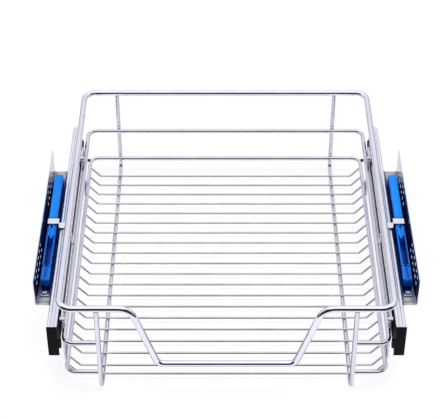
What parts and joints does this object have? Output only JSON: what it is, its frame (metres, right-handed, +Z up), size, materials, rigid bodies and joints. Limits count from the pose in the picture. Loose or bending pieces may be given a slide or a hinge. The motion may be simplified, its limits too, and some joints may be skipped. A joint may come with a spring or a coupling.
{
  "type": "pull-out cabinet basket",
  "caption": "Chromed wire basket with a dipped front, on side-mounted ball-bearing slides with soft-close dampers and cabinet-side brackets.",
  "frame": {"origin": "middle of the footprint, at the bottom of the runners' feet", "axes": "+X is the width, +Z is up, and the basket pulls out towards -Y"},
  "size_m": [0.464, 0.443, 0.138],
  "materials": {
    "chrome_wire": "bright chrome plate",
    "hanger_steel": "chrome plate",
    "slide_steel": "satin zinc plate",
    "cage_steel": "plain strip steel",
    "ball_steel": "polished",
    "screw_steel": "bright zinc plate",
    "activator_steel": "bright nickel plate",
    "bracket_zinc": "reflective zinc plate",
    "cap_black": "matte moulded",
    "lever_black": "satin moulded",
    "damper_blue": "gloss moulded",
    "cover_blue": "gloss moulded",
    "rim_chrome": "bright chrome plate",
    "floor_chrome": "bright chrome plate",
    "inner_rail_steel": "dark passivated zinc"
  },
  "bodies": {
    "cabinet_side": {"outer_member_left": "slide_steel", "outer_member_right": "slide_steel", "rear_buffer_left": "cap_black", "rear_buffer_right": "cap_black", "bracket_left": "bracket_zinc", "bracket_right": "bracket_zinc", "bracket_rivets": "screw_steel", "damper_plate_left": "bracket_zinc", "damper_plate_right": "bracket_zinc", "damper_screws": "screw_steel", "damper_housing_left": "damper_blue", "damper_housing_right": "damper_blue", "damper_cover_left": "cover_blue", "damper_cover_right": "cover_blue", "damper_cylinder_left": "screw_steel", "damper_cylinder_right": "screw_steel", "return_spring_left": "screw_steel", "return_spring_right": "screw_steel"},
    "basket": {"top_rim": "rim_chrome", "middle_rail": "chrome_wire", "lower_rail": "chrome_wire", "runner_left": "chrome_wire", "runner_right": "chrome_wire", "floor_wires": "floor_chrome", "hanger_plate_front_left": "hanger_steel", "hanger_plate_front_right": "hanger_steel", "hanger_plate_rear_left": "hanger_steel", "hanger_plate_rear_right": "hanger_steel", "hanger_screws": "screw_steel", "inner_member_left": "inner_rail_steel", "inner_member_right": "inner_rail_steel", "end_cap_left": "cap_black", "end_cap_right": "cap_black", "activator_left": "activator_steel", "activator_right": "activator_steel", "activator_screws": "screw_steel"},
    "mid_left": {"mid_member_left": "slide_steel"},
    "mid_right": {"mid_member_right": "slide_steel"},
    "outer_balls_cage_left": {"outer_cage_left": "cage_steel", "outer_balls_left": "ball_steel"},
    "outer_balls_cage_right": {"outer_cage_right": "cage_steel", "outer_balls_right": "ball_steel"},
    "inner_balls_cage_left": {"inner_cage_left": "cage_steel", "inner_balls_left": "ball_steel"},
    "inner_balls_cage_right": {"inner_cage_right": "cage_steel", "inner_balls_right": "ball_steel"},
    "soft_close_left": {"catch_left": "cover_blue", "piston_rod_left": "ball_steel"},
    "soft_close_right": {"catch_right": "cover_blue", "piston_rod_right": "ball_steel"},
    "lever_left": {"release_lever_left": "lever_black"},
    "lever_right": {"release_lever_right": "lever_black"}
  },
  "joints": [
    {"name": "basket_slide", "type": "slide", "parent": "cabinet_side", "child": "basket", "axis": [0, -1, 0], "range_m": [0, 0.4]},
    {"name": "mid_slide_left", "type": "slide", "parent": "cabinet_side", "child": "mid_left", "axis": [0, -1, 0], "range_m": [0, 0.2]},
    {"name": "mid_slide_right", "type": "slide", "parent": "cabinet_side", "child": "mid_right", "axis": [0, -1, 0], "range_m": [0, 0.2]},
    {"name": "outer_cage_slide_left", "type": "slide", "parent": "cabinet_side", "child": "outer_balls_cage_left", "axis": [0, -1, 0], "range_m": [0, 0.1]},
    {"name": "outer_cage_slide_right", "type": "slide", "parent": "cabinet_side", "child": "outer_balls_cage_right", "axis": [0, -1, 0], "range_m": [0, 0.1]},
    {"name": "inner_cage_slide_left", "type": "slide", "parent": "cabinet_side", "child": "inner_balls_cage_left", "axis": [0, -1, 0], "range_m": [0, 0.3]},
    {"name": "inner_cage_slide_right", "type": "slide", "parent": "cabinet_side", "child": "inner_balls_cage_right", "axis": [0, -1, 0], "range_m": [0, 0.3]},
    {"name": "catch_slide_left", "type": "slide", "parent": "cabinet_side", "child": "soft_close_left", "axis": [0, -1, 0], "range_m": [0, 0.05]},
    {"name": "catch_slide_right", "type": "slide", "parent": "cabinet_side", "child": "soft_close_right", "axis": [0, -1, 0], "range_m": [0, 0.05]},
    {"name": "lever_pivot_left", "type": "hinge", "parent": "basket", "child": "lever_left", "pos_m": [-0.2, 0.17, 0.072], "axis": [1, 0, 0], "range_deg": [-12, 12], "stiffness_Nm_per_rad": 0.02},
    {"name": "lever_pivot_right", "type": "hinge", "parent": "basket", "child": "lever_right", "pos_m": [0.2, 0.17, 0.072], "axis": [1, 0, 0], "range_deg": [-12, 12], "stiffness_Nm_per_rad": 0.02}
  ],
  "couplings": [
    {"joint": "mid_slide_left", "follows": "basket_slide", "ratio": 0.5},
    {"joint": "mid_slide_right", "follows": "basket_slide", "ratio": 0.5},
    {"joint": "outer_cage_slide_left", "follows": "basket_slide", "ratio": 0.25},
    {"joint": "outer_cage_slide_right", "follows": "basket_slide", "ratio": 0.25},
    {"joint": "inner_cage_slide_left", "follows": "basket_slide", "ratio": 0.75},
    {"joint": "inner_cage_slide_right", "follows": "basket_slide", "ratio": 0.75}
  ]
}
